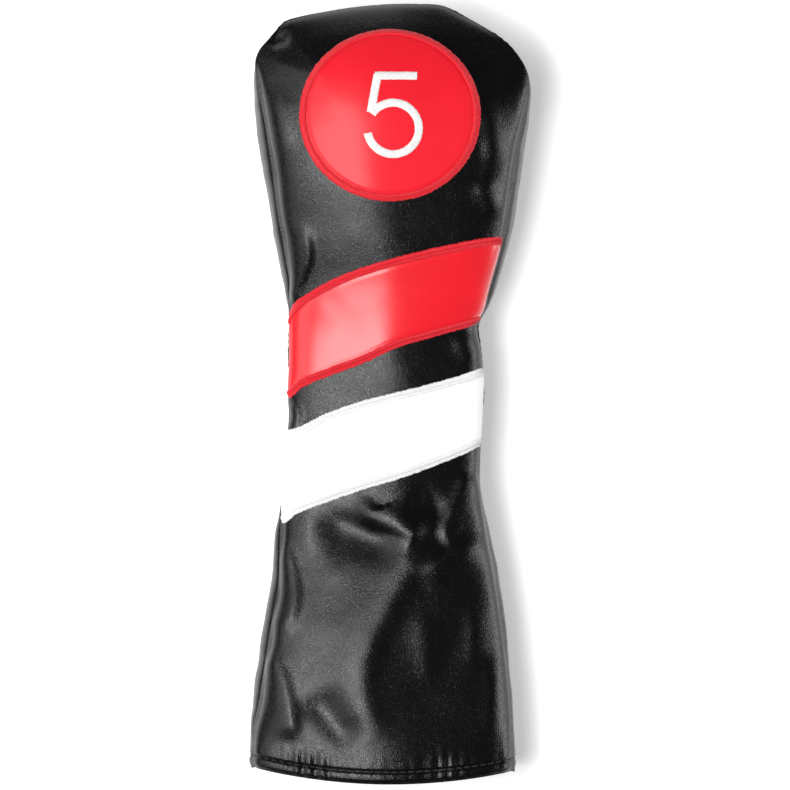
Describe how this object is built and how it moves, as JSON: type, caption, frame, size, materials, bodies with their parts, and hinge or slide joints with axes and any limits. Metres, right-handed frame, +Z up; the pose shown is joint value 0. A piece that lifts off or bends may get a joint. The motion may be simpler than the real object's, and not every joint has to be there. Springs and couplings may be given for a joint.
{
  "type": "fairway wood head cover",
  "caption": "Long boxed sock of padded synthetic leather for a fairway wood, with a round number patch, two slanting stripes and a gathered neck.",
  "frame": {"origin": "on the table under the middle of the cover's box, with the cover lying on its back", "axes": "+Y from the mouth to the crown, +Z up out of the front panel, +X to the right seen from the front with the crown uppermost"},
  "size_m": [0.1203, 0.33, 0.0598],
  "materials": {
    "black_leather": "fine-grained black synthetic leather",
    "foam": "open-cell grey foam",
    "pile": "short knitted pile",
    "elastic": "woven ribbed elastic",
    "red_patent": "glossy coated red leather",
    "white_leather": "smooth white synthetic leather",
    "satin_red": "red satin stitch",
    "satin_white": "white satin stitch",
    "black_thread": "waxed polyester thread"
  },
  "bodies": {
    "root": {"front_panel": "black_leather", "side_gusset": "black_leather", "back_panel": "black_leather", "front_padding": "foam", "gusset_padding": "foam", "back_head_padding": "foam", "back_skirt_padding": "foam", "front_lining": "pile", "gusset_lining": "pile", "back_lining": "pile", "neck_elastic": "elastic", "red_stripe": "red_patent", "number_patch": "red_patent", "white_stripe": "white_leather", "number_patch_border": "satin_red", "red_stripe_top_border": "satin_red", "red_stripe_bottom_border": "satin_red", "number_five": "satin_white", "white_stripe_top_border": "satin_white", "white_stripe_bottom_border": "satin_white", "front_seam_thread": "black_thread", "back_seam_thread": "black_thread", "hem_stitches": "black_thread", "elastic_stitches": "black_thread"}
  },
  "joints": []
}
